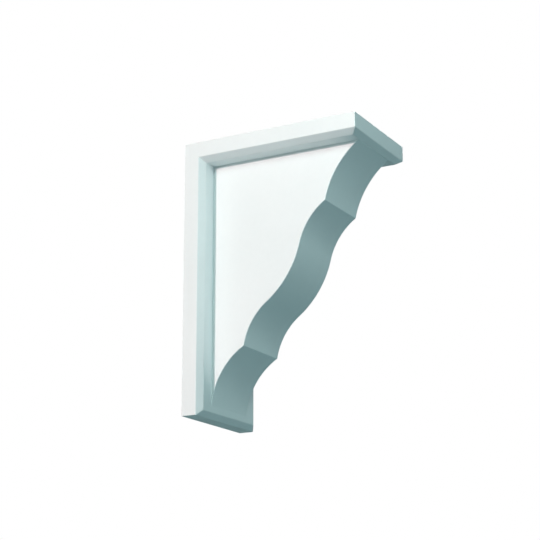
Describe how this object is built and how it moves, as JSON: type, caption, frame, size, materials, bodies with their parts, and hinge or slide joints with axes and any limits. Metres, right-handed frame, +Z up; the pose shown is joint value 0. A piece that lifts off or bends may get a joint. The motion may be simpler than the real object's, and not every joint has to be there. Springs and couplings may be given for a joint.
{
  "type": "decorative bracket",
  "caption": "Moulded decorative bracket, primed white: a bevelled L-shaped frame with a thick inset web whose front is cut in a scalloped line.",
  "frame": {"origin": "centre of the wall face, the flat back of the leg", "axes": "+X out from the wall, +Z up the wall, Y across the bracket's width"},
  "size_m": [0.2347, 0.1388, 0.343],
  "materials": {
    "primed_white": "factory-primed matte white over moulded polyurethane foam"
  },
  "bodies": {
    "root": {"bracket": "primed_white"}
  },
  "joints": []
}
